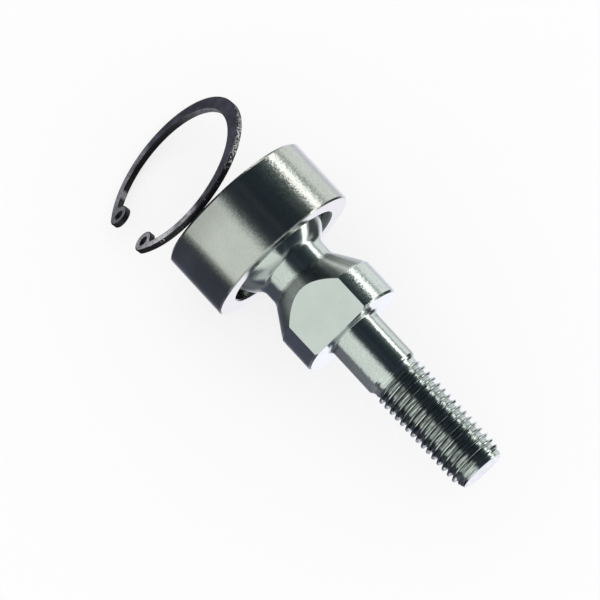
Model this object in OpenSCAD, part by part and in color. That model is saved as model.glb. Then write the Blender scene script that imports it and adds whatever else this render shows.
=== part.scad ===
// Suspension ball joint: a ball stud turning in a press-in outer race, carried by two
// plastic bearing halves, with the retaining ring that locks the race in its bore.
// Sizes are in millimetres. The origin is the centre of the ball, +X runs along the stud.

/* [Outer race] */
// Outside diameter, the size of the bore that the race is pressed into
race_od = 35; // [34:0.5:42]
// Width between the two end faces
race_w = 15.5; // [14:0.5:18]
// Wall left outside the bearing groove
race_wall = 2.4; // [1.6:0.1:4]
// Thickness of the lip that closes the bearing groove at each end
lip_t = 2; // [1.25:0.25:3]
// Height of the lip above the bottom of the groove, which leaves the open mouth
lip_h = 2.1; // [1.2:0.1:2.6]
// Chamfer on the rim of each mouth
mouth_chamfer = 0.3; // [0.1:0.05:0.8]
// Chamfer on the outer edge at the stud's side, which enters the bore first
race_front_chamfer = 0.35; // [0.2:0.05:0.8]
// Chamfer on the outer edge at the back, where the retaining ring bears
race_back_chamfer = 0.5; // [0.2:0.05:0.9]

/* [Bearing halves] */
// Wall of the two halves round the middle of the ball
bearing_wall = 2; // [1.2:0.1:3]
// Lead-in chamfer on the edge that faces each mouth
bearing_chamfer = 0.5; // [0.2:0.1:0.9]

/* [Ball stud] */
// Depth of the flat on the ball's back behind the race's back face
back_recess = 0.25; // [0:0.05:1.5]
// Diameter of the lathe centre drilled in that flat
centre_d = 4; // [2:0.5:6]
// Diameter of the neck
neck_d = 15.6; // [12:0.2:16]
// Radius where the ball runs into the neck
neck_fillet = 2; // [1:0.25:2.5]
// Distance from the ball's centre to the end of the neck
neck_end = 14; // [13:0.25:18]
// Length of the cone between the neck and the collar
cone_len = 6.6; // [4:0.2:10]
// Diameter of the round collar
collar_d = 23.8; // [22:0.2:26]
// Length of the collar
collar_len = 8.2; // [6:0.2:12]
// Chamfer on the collar's front edge
collar_chamfer = 0.45; // [0.2:0.05:0.8]
// Distance across the two wrench flats
flats_w = 19; // [17:0.5:21]
// Turn of the wrench flats about the stud, in degrees
flats_turn = 21; // [0:1:90]
// Diameter of the plain shank
shank_d = 12; // [11.5:0.1:14]
// Length of the shank from the collar's face
shank_len = 11.7; // [8:0.1:20]
// Radius where the shank meets the collar's face
shank_fillet = 1; // [0.5:0.1:1.6]
// Length of the taper from the shank down to the thread's blank
taper_len = 1.35; // [0.6:0.05:2]
// Diameter of the bare blank between the taper and the thread
blank_d = 11; // [10.2:0.1:11.2]
// Length of that bare blank
blank_len = 0.85; // [0.4:0.05:2]
// Diameter over the crests of the thread
thread_d = 11.9; // [11.4:0.1:12]
// Length of the thread, its end chamfer included
thread_len = 25.3; // [15:0.1:40]
// Length of the chamfer on the thread's end
tip_len = 1.75; // [0.8:0.05:2.5]
// Diameter of the flat end face
tip_d = 10; // [9:0.1:10.6]

/* [Retaining ring] */
// How much wider the free ring is than the bore that it locks in
ring_spread = 2.8; // [1.6:0.1:4]
// Thickness of the ring's strip
ring_t = 1.2; // [1:0.1:2]
// Width of the ring opposite its gap
ring_w_back = 3.2; // [2.6:0.1:4]
// Width of the ring beside its lugs
ring_w_ends = 1.6; // [1.3:0.1:2.4]
// Radius of the lug round each plier hole
lug_r = 2.35; // [2:0.05:3]
// Diameter of the plier holes
lug_hole_d = 2.2; // [1.6:0.1:2.6]
// Radius in the corner between a lug and the strip
lug_fillet = 0.7; // [0.3:0.1:1.2]
// Angle from the middle of the gap to each plier hole, in degrees
lug_angle = 30.5; // [22:0.5:40]
// Direction of the gap round the ring, in degrees
gap_turn = -107; // [-130:1:-70]
// Lean of the ring from lying flat, in degrees
ring_lean = 55.8; // [45:0.1:70]
// Turn of the leaning ring about the vertical, in degrees
ring_yaw = 18; // [0:0.5:25]
// Sideways place of the ring's centre
ring_side = -4.6; // [-6:0.1:0]

/* [Fits] */
// Running clearance between the ball and the bearing halves
ball_clearance = 0.05; // [0.02:0.01:0.1]
// Running clearance round the outside of the bearing halves
bearing_clearance = 0.05; // [0.02:0.01:0.1]
// End play of the bearing halves in their groove, at each end
bearing_end_play = 0.05; // [0.02:0.01:0.2]
// Room between the race's back face and the ring that leans on it
ring_clearance = 0.2; // [0.1:0.05:0.4]

/* [Hidden] */
$fn = 96;
// Overshoot that keeps a cut from ending on the face that it cuts
over = 1;
// Depth to which a lug's rounded corner runs into the two edges that it joins
corner_tuck = 0.02;
race_r = race_od / 2;
race_half = race_w / 2;
groove_r = race_r - race_wall;
groove_half = race_half - lip_t;
mouth_r = groove_r - lip_h;
bearing_r = groove_r - bearing_clearance;
bearing_half = groove_half - bearing_end_play;
seat_r = bearing_r - bearing_wall;
ball_r = seat_r - ball_clearance;
ball_back = race_half - back_recess;
neck_r = neck_d / 2;
collar_r = collar_d / 2;
collar_start = neck_end + cone_len;
collar_end = collar_start + collar_len;
shank_r = shank_d / 2;
shank_end = collar_end + shank_len;
blank_r = blank_d / 2;
blank_start = shank_end + taper_len;
thread_r = thread_d / 2;
thread_start = blank_start + blank_len;
thread_lead = thread_r - blank_r;
stud_end = thread_start + thread_len;
tip_start = stud_end - tip_len;
ring_r = race_r + ring_spread / 2;
// The inner edge of the strip is a circle set towards the gap, so the strip thins to its ends
ring_inner_r = ring_r - (ring_w_back + ring_w_ends) / 2;
ring_offset = (ring_w_back - ring_w_ends) / 2;
lug_place = ring_r - lug_r;
// The ring stands on the level of the race's lowest line and leans on the race's back face
ring_normal_x = -sin(ring_lean) * cos(ring_yaw);
ring_x = -race_half - ring_clearance - ring_r * sqrt(1 - pow(ring_normal_x, 2));
ring_z = -race_r + ring_r * sin(ring_lean);

// A profile of radius against distance along the stud, revolved about the X axis
module turned() {
    rotate([0, 90, 0])
        rotate_extrude()
            children();
}

// The race's ring section: a plain outside, a lip at each end and the bearing groove between
module race_section() {
    difference() {
        polygon([
            [mouth_r, -race_half + mouth_chamfer],
            [mouth_r + mouth_chamfer, -race_half],
            [race_r - race_back_chamfer, -race_half],
            [race_r, -race_half + race_back_chamfer],
            [race_r, race_half - race_front_chamfer],
            [race_r - race_front_chamfer, race_half],
            [mouth_r + mouth_chamfer, race_half],
            [mouth_r, race_half - mouth_chamfer]
        ]);
        translate([0, -groove_half])
            square([groove_r, 2 * groove_half]);
    }
}

module outer_race() {
    color("lightgray")
        turned()
            race_section();
}

// One bearing half: a cup with a round outside and a spherical seat for the ball
module bearing_cup() {
    seat_edge_r = sqrt(pow(seat_r, 2) - pow(bearing_half - bearing_chamfer, 2));
    difference() {
        turned()
            square([bearing_r, bearing_half]);
        sphere(r = seat_r);
        turned()
            polygon([
                [0, bearing_half - bearing_chamfer],
                [seat_edge_r, bearing_half - bearing_chamfer],
                [seat_edge_r + bearing_chamfer + over, bearing_half + over],
                [0, bearing_half + over]
            ]);
    }
}

module front_bearing_half() {
    color("dimgray")
        bearing_cup();
}

module rear_bearing_half() {
    color("dimgray")
        mirror([1, 0, 0])
            bearing_cup();
}

// The stud ahead of the ball: neck, cone, collar, shank, taper, bare blank and thread
module stud_section() {
    polygon([
        [0, 0],
        [neck_r, 0],
        [neck_r, neck_end],
        [collar_r, collar_start],
        [collar_r, collar_end - collar_chamfer],
        [collar_r - collar_chamfer, collar_end],
        [shank_r, collar_end],
        [shank_r, shank_end],
        [blank_r, blank_start],
        [blank_r, thread_start],
        [thread_r, thread_start + thread_lead],
        [thread_r, tip_start],
        [tip_d / 2, stud_end],
        [0, stud_end]
    ]);
}

// The hollow curve from the ball to the neck, tangent to both
module neck_fillet_section() {
    centre_r = neck_r + neck_fillet;
    centre_x = sqrt(pow(ball_r + neck_fillet, 2) - pow(centre_r, 2));
    on_ball = ball_r / (ball_r + neck_fillet);
    difference() {
        polygon([
            [0, centre_x * on_ball],
            [centre_r * on_ball, centre_x * on_ball],
            [neck_r, centre_x],
            [0, centre_x]
        ]);
        translate([centre_r, centre_x])
            circle(r = neck_fillet);
    }
}

// The hollow curve from the collar's face to the shank
module shank_fillet_section() {
    difference() {
        translate([0, collar_end])
            square([shank_r + shank_fillet, shank_fillet]);
        translate([shank_r + shank_fillet, collar_end + shank_fillet])
            circle(r = shank_fillet);
    }
}

// The metal milled away outside the two wrench flats, from the neck to the collar's face
module flats_waste() {
    depth = collar_r - flats_w / 2 + over;
    for (side = [0, 180])
        rotate([flats_turn + side, 0, 0])
            translate([neck_end, -collar_r, flats_w / 2])
                cube([cone_len + collar_len, collar_d, depth]);
}

// The sixty degree lathe centre in the flat on the ball's back
module lathe_centre() {
    depth = centre_d / 2 / tan(30);
    translate([-ball_back, 0, 0])
        rotate([0, 90, 0])
            cylinder(h = depth, r1 = centre_d / 2, r2 = 0);
}

module ball_stud() {
    color("silver")
        difference() {
            union() {
                sphere(r = ball_r);
                turned()
                    stud_section();
                turned()
                    neck_fillet_section();
                turned()
                    shank_fillet_section();
            }
            flats_waste();
            translate([-ball_back - ball_r, -ball_r, -ball_r])
                cube([ball_r, 2 * ball_r, 2 * ball_r]);
            lathe_centre();
        }
}

// One lug on the strip's end, with the rounded corner that runs into the strip
module lug() {
    lug_at = lug_place * [cos(lug_angle), sin(lug_angle)];
    inner_at = [ring_offset, 0];
    span = lug_at - inner_at;
    reach = norm(span);
    to_lug = lug_r + lug_fillet;
    to_inner = ring_inner_r - lug_fillet;
    swing = acos((pow(to_inner, 2) + pow(reach, 2) - pow(to_lug, 2)) / (2 * to_inner * reach));
    heading = atan2(span[1], span[0]) + swing;
    fillet_at = inner_at + to_inner * [cos(heading), sin(heading)];
    strip_at = inner_at + (ring_inner_r + ring_w_ends / 2) * [cos(heading), sin(heading)];
    translate(lug_at)
        circle(r = lug_r);
    difference() {
        polygon([lug_at, strip_at, fillet_at]);
        translate(fillet_at)
            circle(r = lug_fillet + corner_tuck);
    }
}

// The flat outline of the ring, its gap towards +X
module ring_outline() {
    gap_reach = 2 * ring_r;
    difference() {
        union() {
            difference() {
                circle(r = ring_r);
                translate([ring_offset, 0])
                    circle(r = ring_inner_r);
                polygon([
                    [0, 0],
                    [gap_reach * cos(lug_angle), -gap_reach * sin(lug_angle)],
                    [gap_reach * cos(lug_angle), gap_reach * sin(lug_angle)]
                ]);
            }
            for (side = [0, 1])
                mirror([0, side, 0])
                    lug();
        }
        for (side = [-1, 1])
            rotate(side * lug_angle)
                translate([lug_place, 0])
                    circle(d = lug_hole_d);
    }
}

module retaining_ring() {
    color("darkslategray")
        translate([ring_x, ring_side, ring_z])
            rotate([0, -ring_lean, ring_yaw])
                rotate([0, 0, gap_turn])
                    linear_extrude(height = ring_t)
                        ring_outline();
}

outer_race();
front_bearing_half();
rear_bearing_half();
ball_stud();
retaining_ring();
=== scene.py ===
import math

import bmesh
import bpy
import numpy as np
from mathutils import Matrix, Vector


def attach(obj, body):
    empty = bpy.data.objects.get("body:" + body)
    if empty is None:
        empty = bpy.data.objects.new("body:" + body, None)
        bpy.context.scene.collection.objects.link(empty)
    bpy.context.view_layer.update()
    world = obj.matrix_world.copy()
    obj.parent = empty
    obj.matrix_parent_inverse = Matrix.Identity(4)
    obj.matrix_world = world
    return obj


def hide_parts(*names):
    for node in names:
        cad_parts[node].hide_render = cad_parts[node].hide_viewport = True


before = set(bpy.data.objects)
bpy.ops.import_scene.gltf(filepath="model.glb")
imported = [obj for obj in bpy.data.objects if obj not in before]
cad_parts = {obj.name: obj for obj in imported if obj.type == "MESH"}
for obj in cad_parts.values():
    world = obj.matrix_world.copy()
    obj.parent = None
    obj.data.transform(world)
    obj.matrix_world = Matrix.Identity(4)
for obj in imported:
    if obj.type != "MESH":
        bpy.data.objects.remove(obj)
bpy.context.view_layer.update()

# The outer race is a bearing steel ring, turned and then ground outside, that is pressed
# into the bore of a suspension arm. A lip at each end keeps the bearing halves in its
# groove and leaves a mouth for the ball.
MM = 0.001
RACE_R = 17.5
RACE_HALF = 7.75
RACE_FRONT_CHAMFER = 0.35
RACE_BACK_CHAMFER = 0.5
MOUTH_R = 13.0
MOUTH_CHAMFER = 0.3
GROOVE_R = 15.1
GROOVE_HALF = 5.75
EDGE_BREAK = 0.05
RACE_SPOKES = 180
SHARP_EDGE = math.radians(28)
MERGE = 1e-6
SAME_POINT = 1e-5
STRAIGHT = 1e-6
TINY = 1e-9


def rounded_outline(corners, radii, steps=5, hold=0.5, closed=False):
    """An outline with an arc at each corner.

    An arc touches both edges of its corner at the radius times the tangent of half the turn,
    and its points swing evenly between the two touching spokes. Two holding points follow
    each arc, close to the ends of the next straight, so that it shades flat.
    """
    corners = np.asarray(corners, float)
    radii = np.asarray(radii, float)[:, None]
    ahead = np.roll(corners, -1, axis=0) - corners
    ahead /= np.linalg.norm(ahead, axis=1, keepdims=True)
    behind = np.roll(ahead, 1, axis=0)
    turn = np.arccos(np.clip((ahead * behind).sum(1, keepdims=True), -1, 1))
    reach = radii * np.tan(turn / 2)
    middle = ahead - behind
    middle /= np.maximum(np.linalg.norm(middle, axis=1, keepdims=True), TINY)
    centre = corners + middle * radii / np.cos(turn / 2)
    first = corners - behind * reach
    last = corners + ahead * reach
    share = np.linspace(0, 1, steps + 1)[None, :, None]
    bend = np.maximum(turn, STRAIGHT)[:, :, None]
    spoke = np.sin((1 - share) * bend) * (first - centre)[:, None]
    spoke = (spoke + np.sin(share * bend) * (last - centre)[:, None]) / np.sin(bend)
    straight = np.roll(first, -1, axis=0) - last
    length = np.maximum(np.linalg.norm(straight, axis=1, keepdims=True), TINY)
    part = np.minimum(hold / length, 1 / 3)
    holds = np.stack([last + straight * part, last + straight * (1 - part)], axis=1)
    points = np.concatenate([centre[:, None] + spoke, holds], axis=1).reshape(-1, 2)
    points = points if closed else points[:-2]
    gap = np.linalg.norm(points - np.roll(points, 1, axis=0), axis=1)
    return points[(gap > SAME_POINT) | (np.arange(len(gap)) == 0)]


def turned(profile, spokes):
    """A profile of (place along X, radius) carried round the X axis.

    The spoke at an angle points from up towards the near side, so its point is the place
    along X, minus the radius times the sine, and the radius times the cosine.
    """
    angle = np.arange(spokes) * 2 * np.pi / spokes
    x, r = profile.T[:, :, None]
    return np.stack([x + 0 * angle, -r * np.sin(angle), r * np.cos(angle)], axis=-1)


def grid_quads(rows, columns, closed_rows, start=0, climb=0):
    """Corner numbers of a grid's quads.

    The columns close on themselves, so many rows further on as the grid climbs in a turn, and
    the rows close where asked.
    """
    number = start + np.arange(rows * columns).reshape(rows, columns)
    beside = np.roll(number, -1, axis=1)
    beside[:, -1] = number[np.minimum(np.arange(rows) + climb, rows - 1), 0]
    quads = np.stack([number, beside, np.roll(beside, -1, 0), np.roll(number, -1, 0)], axis=-1)
    return (quads if closed_rows else quads[:-1]).reshape(-1, 4)


def surface(name, points, quads, body, cad_node, marks=None):
    """Points in millimetres and quads made one closed, smooth mesh that stands for its CAD node."""
    mesh = bpy.data.meshes.new(name)
    mesh.from_pydata((points.reshape(-1, 3) * MM).tolist(), [], quads.tolist())
    for mark, values in (marks or {}).items():
        mesh.attributes.new(mark, "FLOAT", "POINT").data.foreach_set("value", values.ravel())
    work = bmesh.new()
    work.from_mesh(mesh)
    bmesh.ops.remove_doubles(work, verts=work.verts, dist=MERGE)
    bmesh.ops.recalc_face_normals(work, faces=work.faces)
    work.to_mesh(mesh)
    work.free()
    mesh.shade_smooth()
    mesh.set_sharp_from_angle(angle=SHARP_EDGE)
    piece = bpy.data.objects.new(name, mesh)
    bpy.context.scene.collection.objects.link(piece)
    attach(piece, body)
    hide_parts(cad_node)
    return piece


race_corners = [
    (-RACE_HALF, MOUTH_R + MOUTH_CHAMFER),
    (-RACE_HALF, RACE_R - RACE_BACK_CHAMFER),
    (-RACE_HALF + RACE_BACK_CHAMFER, RACE_R),
    (RACE_HALF - RACE_FRONT_CHAMFER, RACE_R),
    (RACE_HALF, RACE_R - RACE_FRONT_CHAMFER),
    (RACE_HALF, MOUTH_R + MOUTH_CHAMFER),
    (RACE_HALF - MOUTH_CHAMFER, MOUTH_R),
    (GROOVE_HALF, MOUTH_R),
    (GROOVE_HALF, GROOVE_R),
    (-GROOVE_HALF, GROOVE_R),
    (-GROOVE_HALF, MOUTH_R),
    (-RACE_HALF + MOUTH_CHAMFER, MOUTH_R),
]
race_profile = rounded_outline(race_corners, [EDGE_BREAK] * len(race_corners), closed=True)
race_points = turned(race_profile, RACE_SPOKES)
race_quads = grid_quads(len(race_profile), RACE_SPOKES, closed_rows=True)
race = surface("race", race_points, race_quads, "housing", "outer_race")


def node(tree, kind, values=None, **settings):
    """A node with its settings, where a socket's value is a number or a socket to link."""
    made = tree.nodes.new(kind)
    for name, value in settings.items():
        setattr(made, name, value)
    for name, value in (values or {}).items():
        if isinstance(value, bpy.types.NodeSocket):
            tree.links.new(value, made.inputs[name])
        else:
            made.inputs[name].default_value = value
    return made


def math_node(tree, operation, first, second=0.0, clamp=False):
    """One sum on two values or sockets."""
    sockets = {0: first, 1: second}
    return node(tree, "ShaderNodeMath", sockets, operation=operation, use_clamp=clamp).outputs[0]


def vector_node(tree, operation, first, second=(0.0, 0.0, 0.0)):
    """One sum on two vectors or sockets."""
    made = node(tree, "ShaderNodeVectorMath", {0: first, 1: second}, operation=operation)
    return made.outputs["Value" if operation in ("LENGTH", "DISTANCE") else "Vector"]


def product(tree, *factors):
    """Values or sockets multiplied one after another."""
    whole = factors[0]
    for factor in factors[1:]:
        whole = math_node(tree, "MULTIPLY", whole, factor)
    return whole


def band(tree, value, low, high, out_low=0.0, out_high=1.0):
    """A value carried smoothly from one range to another and held at its ends."""
    sockets = {"Value": value, "From Min": low, "From Max": high, "To Min": out_low, "To Max": out_high}
    return node(tree, "ShaderNodeMapRange", sockets, interpolation_type="SMOOTHSTEP").outputs["Result"]


def fade(tree, axis, start, end, before=0.0, after=1.0):
    """A value that changes smoothly between two places along an axis, given in millimetres."""
    return band(tree, axis, start * MM, end * MM, before, after)


def scaled(tree, colour, factor):
    """A colour or vector times a factor."""
    return node(tree, "ShaderNodeVectorMath", {0: colour, "Scale": factor}, operation="SCALE").outputs[0]


def noise(tree, vector, scale, detail):
    """The value of a noise with so many waves to the unit of its vector."""
    sockets = {"Vector": vector, "Scale": scale, "Detail": detail}
    return node(tree, "ShaderNodeTexNoise", sockets).outputs["Fac"]


def cells(tree, vector, scale):
    """The distance to the middle of the nearest cell, and that cell's own colour."""
    made = node(tree, "ShaderNodeTexVoronoi", {"Vector": vector, "Scale": scale}, feature="F1")
    return made.outputs["Distance"], made.outputs["Color"]


def places(tree):
    """The place on the piece, and its three coordinates."""
    place = node(tree, "ShaderNodeTexCoord").outputs["Object"]
    return place, node(tree, "ShaderNodeSeparateXYZ", {0: place}).outputs


def off_axis(tree, axes):
    """The vector from the X axis straight out to a place."""
    return node(tree, "ShaderNodeCombineXYZ", {"Y": axes["Y"], "Z": axes["Z"]}).outputs[0]


def finish_group(name, inputs, outputs):
    """An empty shader node group with its named sockets, and its two end nodes."""
    group = bpy.data.node_groups.new(name, "ShaderNodeTree")
    for label, kind, value in inputs:
        socket = group.interface.new_socket(name=label, in_out="INPUT", socket_type=kind)
        socket.default_value = value
    for label, kind in outputs:
        group.interface.new_socket(name=label, in_out="OUTPUT", socket_type=kind)
    return group, group.nodes.new("NodeGroupInput"), group.nodes.new("NodeGroupOutput")


# Turned marks run round the X axis on every round face and in circles on every end face,
# over the cloudy tone of bare steel. Tiny facets lean each their own way, which gives the
# steel its sparkle, and there are a few pits and short scratches from handling.
CLOUDS_PER_M = 240.0
CLOUD_RANGE = (0.3, 0.7)
CLOUD_TONE = (0.97, 1.02)
CLOUD_GLOSS = (0.85, 1.2)
CLOUD_DRIFT = 0.0012
COARSE_MARKS_PER_M = 1700.0
FINE_MARKS_PER_M = 6500.0
FINE_GLOSS = (0.25, 0.75, 0.85, 1.15)
COARSE_SHARE = 0.6
MARK_RELIEF = 0.003
FACETS_PER_M = 5000.0
ROUND_FACET = (1.0, 1.0, 1.0)
LONG_FACET = (1.06, 0.076, 0.076)
MID_GREY = (0.5, 0.5, 0.5)
FACET_LEAN = 0.01
FACET_TONE = 2.5
PITS_PER_M = 210.0
PITTED_SHARE = 0.18
PIT_SIZE = (0.015, 0.04)
PIT_TONE = 0.12
PIT_DEPTH = 3.0
STROKE_TURN = (0.5, 0.3, 0.9)
STROKES_PER_M = (110.0, 1300.0, 700.0)
STROKE_EDGE = (0.1, 0.24)
SCRATCHED_SHARE = 0.03
SCRATCH_TONE = 0.78
SCRATCH_ROUGHNESS = 0.2
SOIL_AND_SHADE_TONE = 0.25
MATT_ROUGHNESS = 0.18
turned_steel, given, result = finish_group(
    "turned_steel",
    [
        ("Tone", "NodeSocketColor", (0.7, 0.7, 0.7, 1)),
        ("Roughness", "NodeSocketFloat", 0.2),
        ("Marks", "NodeSocketFloat", 1.0),
        ("Wear", "NodeSocketFloat", 1.0),
        ("Grain", "NodeSocketFloat", 1.0),
        ("Stretch", "NodeSocketFloat", 0.0),
        ("Soil and shade", "NodeSocketFloat", 0.0),
        ("Matt", "NodeSocketFloat", 0.0),
    ],
    [
        ("Color", "NodeSocketColor"),
        ("Roughness", "NodeSocketFloat"),
        ("Normal", "NodeSocketVector"),
    ],
)
tree = turned_steel
place, axes = places(tree)
from_axis = vector_node(tree, "LENGTH", off_axis(tree, axes))
cloud = noise(tree, place, CLOUDS_PER_M, 4.0)
drift = product(tree, cloud, CLOUD_DRIFT)
lathe = node(tree, "ShaderNodeCombineXYZ", {"X": axes["X"], "Y": from_axis, "Z": drift}).outputs[0]
coarse = noise(tree, lathe, COARSE_MARKS_PER_M, 2.0)
fine = noise(tree, lathe, FINE_MARKS_PER_M, 2.0)
facet_shapes = {0: given.outputs["Stretch"], 4: ROUND_FACET, 5: LONG_FACET}
facet_shape = node(tree, "ShaderNodeMix", facet_shapes, data_type="VECTOR").outputs[1]
facet_colour = cells(tree, vector_node(tree, "MULTIPLY", place, facet_shape), FACETS_PER_M)[1]
facet_lean = vector_node(tree, "SUBTRACT", facet_colour, MID_GREY)
facet_lean = scaled(tree, facet_lean, product(tree, given.outputs["Grain"], FACET_LEAN))
pit_at, pit_colour = cells(tree, place, PITS_PER_M)
pit_pick = node(tree, "ShaderNodeSeparateColor", {0: pit_colour}).outputs
pit_size = band(tree, pit_pick[1], 0.0, 1.0, *PIT_SIZE)
pits = product(
    tree,
    math_node(tree, "GREATER_THAN", pit_pick[0], 1 - PITTED_SHARE),
    math_node(tree, "LESS_THAN", pit_at, pit_size),
    given.outputs["Wear"],
)
slant = {"Vector": place, "Rotation": STROKE_TURN, "Scale": STROKES_PER_M}
stroke_at, stroke_colour = cells(tree, node(tree, "ShaderNodeMapping", slant).outputs[0], 1.0)
stroke_pick = node(tree, "ShaderNodeSeparateColor", {0: stroke_colour}).outputs
scratches = product(
    tree,
    math_node(tree, "GREATER_THAN", stroke_pick[0], 1 - SCRATCHED_SHARE),
    band(tree, stroke_at, *STROKE_EDGE, 1.0, 0.0),
    given.outputs["Wear"],
)
facet_tone = node(tree, "ShaderNodeSeparateXYZ", {0: facet_lean}).outputs["X"]
# The input for soil and shade darkens the tone: for dirt, and for painted shade where a material feeds it.
tone = product(
    tree,
    band(tree, cloud, *CLOUD_RANGE, *CLOUD_TONE),
    math_node(tree, "ADD", product(tree, facet_tone, FACET_TONE), 1.0),
    band(tree, pits, 0.0, 1.0, 1.0, PIT_TONE),
    band(tree, scratches, 0.0, 1.0, 1.0, SCRATCH_TONE),
    band(tree, given.outputs["Soil and shade"], 0.0, 1.0, 1.0, SOIL_AND_SHADE_TONE),
)
rough = product(
    tree,
    band(tree, fine, *FINE_GLOSS),
    band(tree, cloud, *CLOUD_RANGE, *CLOUD_GLOSS),
    given.outputs["Roughness"],
)
rough = math_node(tree, "ADD", rough, product(tree, scratches, SCRATCH_ROUGHNESS), clamp=True)
rough = math_node(tree, "ADD", rough, product(tree, given.outputs["Matt"], MATT_ROUGHNESS))
ridges = math_node(tree, "ADD", product(tree, coarse, COARSE_SHARE), product(tree, fine, 1 - COARSE_SHARE))
ridges = product(tree, ridges, given.outputs["Marks"])
dents = math_node(tree, "ADD", product(tree, pits, PIT_DEPTH), scratches)
height = math_node(tree, "SUBTRACT", ridges, dents)
bump = node(tree, "ShaderNodeBump", {"Height": height, "Distance": MARK_RELIEF * MM}).outputs[0]
facing = vector_node(tree, "NORMALIZE", vector_node(tree, "ADD", bump, facet_lean))
tree.links.new(scaled(tree, given.outputs["Tone"], tone), result.inputs["Color"])
tree.links.new(rough, result.inputs["Roughness"])
tree.links.new(facing, result.inputs["Normal"])


def steel(name, piece, tone, roughness, wear):
    """Bare steel from the turned finish, put on a piece."""
    material = bpy.data.materials.new(name)
    material.use_nodes = True
    tree = material.node_tree
    shader = tree.nodes["Principled BSDF"]
    shader.inputs["Metallic"].default_value = 1.0
    values = {"Tone": (*tone, 1), "Roughness": roughness, "Wear": wear}
    finish = tree.nodes.new("ShaderNodeGroup")
    finish.node_tree = turned_steel
    for label, value in values.items():
        finish.inputs[label].default_value = value
    tree.links.new(finish.outputs["Color"], shader.inputs["Base Color"])
    tree.links.new(finish.outputs["Roughness"], shader.inputs["Roughness"])
    tree.links.new(finish.outputs["Normal"], shader.inputs["Normal"])
    piece.data.materials.append(material)
    return tree, finish


# The race is painted darker at its back and along its near side, as painted shade, and its
# mouth wall is darker on its near half. Each is given as the places in millimetres between
# which it fades, and its strength before and after them.
RACE_TONE = (0.62, 0.635, 0.61)
RACE_ROUGHNESS = 0.11
RACE_WEAR = 1.0
OUTSIDE_ENDS = (7.6, 7.7, 1.0, 0.0)
# Painted shade on the race's back and near side:
BACK_SHADE_ALONG = (-7.0, 1.0, 0.38, 0.0)
BACK_SHADE_ACROSS = (-7.0, -3.0, 1.0, 0.0)
LOW_SHADE_ALONG = (-5.0, 0.0, 0.2, 0.42)
LOW_SHADE_ACROSS = (-13.4, -12.6, 1.0, 0.0)
EDGE_SHADE_RISE = (-15.5, -13.6)
EDGE_SHADE_FALL = (-13.6, -12.2, 0.6, 0.0)
MOUTH_WALL = (13.12, 13.3, 1.0, 0.0)
DARKER_MOUTH_SIDE = (-8.0, -4.0, 1.0, 0.0)
RUBBED_SIDE = (4.0, 8.0, 0.0, 2.4)
RACE_GRAIN = (0.0, 4.0, 4.0, 8.5)
FACE_GRAIN_SHARE = 0.2
tree, finish = steel("race_ground_steel", race, RACE_TONE, RACE_ROUGHNESS, RACE_WEAR)
place, axes = places(tree)
on_outside = fade(tree, math_node(tree, "ABSOLUTE", axes["X"]), *OUTSIDE_ENDS)
# Painted shade: the race is darker at its back on the near side, and along the near edge of its outside.
back_painted_shade = product(tree, fade(tree, axes["X"], *BACK_SHADE_ALONG), fade(tree, axes["Y"], *BACK_SHADE_ACROSS))
low_painted_shade = product(tree, fade(tree, axes["Y"], *LOW_SHADE_ACROSS), fade(tree, axes["X"], *LOW_SHADE_ALONG))
edge_painted_shade = product(tree, fade(tree, axes["Y"], *EDGE_SHADE_RISE), fade(tree, axes["Y"], *EDGE_SHADE_FALL))
low_painted_shade = product(tree, math_node(tree, "MAXIMUM", low_painted_shade, edge_painted_shade), on_outside)
race_painted_shade = math_node(tree, "MAXIMUM", back_painted_shade, low_painted_shade)
mouth = fade(tree, vector_node(tree, "LENGTH", off_axis(tree, axes)), *MOUTH_WALL)
# The mouth wall is darker on its near half.
darker_near_mouth = product(tree, mouth, fade(tree, axes["Y"], *DARKER_MOUTH_SIDE))
race_grain = fade(tree, axes["Y"], *RACE_GRAIN)
race_grain = product(tree, race_grain, band(tree, on_outside, 0.0, 1.0, FACE_GRAIN_SHARE, 1.0))
tree.links.new(math_node(tree, "MAXIMUM", race_painted_shade, darker_near_mouth), finish.inputs["Soil and shade"])
tree.links.new(product(tree, mouth, fade(tree, axes["Y"], *RUBBED_SIDE)), finish.inputs["Matt"])
tree.links.new(race_grain, finish.inputs["Grain"])

# The two bearing halves are moulded from a black, hard-wearing plastic. Each is a cup with
# a spherical seat, slipped into the race's groove on either side of the ball.
BEARING_R = 15.05
BEARING_HALF = 5.70
BEARING_CHAMFER = 0.5
SEAT_R = 13.05
SEAT_STEPS = 28
BEARING_SPOKES = 120
BEARING_EDGES = [0, 0.1, 0.2, 0.1, 0]

seat_top = math.asin((BEARING_HALF - BEARING_CHAMFER) / SEAT_R)
seat_angle = np.linspace(0, seat_top, SEAT_STEPS)
seat = np.stack([SEAT_R * np.sin(seat_angle), SEAT_R * np.cos(seat_angle)], axis=1)
seat_rim = seat[-1, 1]
bearing_corners = [
    seat[-1],
    (BEARING_HALF, seat_rim + BEARING_CHAMFER),
    (BEARING_HALF, BEARING_R),
    (0.0, BEARING_R),
    seat[0],
]
bearing_profile = rounded_outline(bearing_corners, BEARING_EDGES)
bearing_profile = np.concatenate([seat[1:-1], bearing_profile])
bearing_points = turned(bearing_profile, BEARING_SPOKES)
bearing_quads = grid_quads(len(bearing_profile), BEARING_SPOKES, closed_rows=True)
PLASTIC_DARK = (0.012, 0.013, 0.014, 1)
PLASTIC_PALE = (0.022, 0.022, 0.024, 1)
PLASTIC_GLOSS = 0.15
PLASTIC_ROUGHNESS = (0.3, 0.7, 0.5, 0.7)
PLASTIC_RELIEF = 0.01
SPECKLES_PER_M = 900.0
SMEARS_PER_M = 160.0


def blend(tree, share, first, second):
    """A colour between two, by its share of the second."""
    return node(tree, "ShaderNodeMix", {0: share, 6: first, 7: second}, data_type="RGBA").outputs[2]


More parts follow.
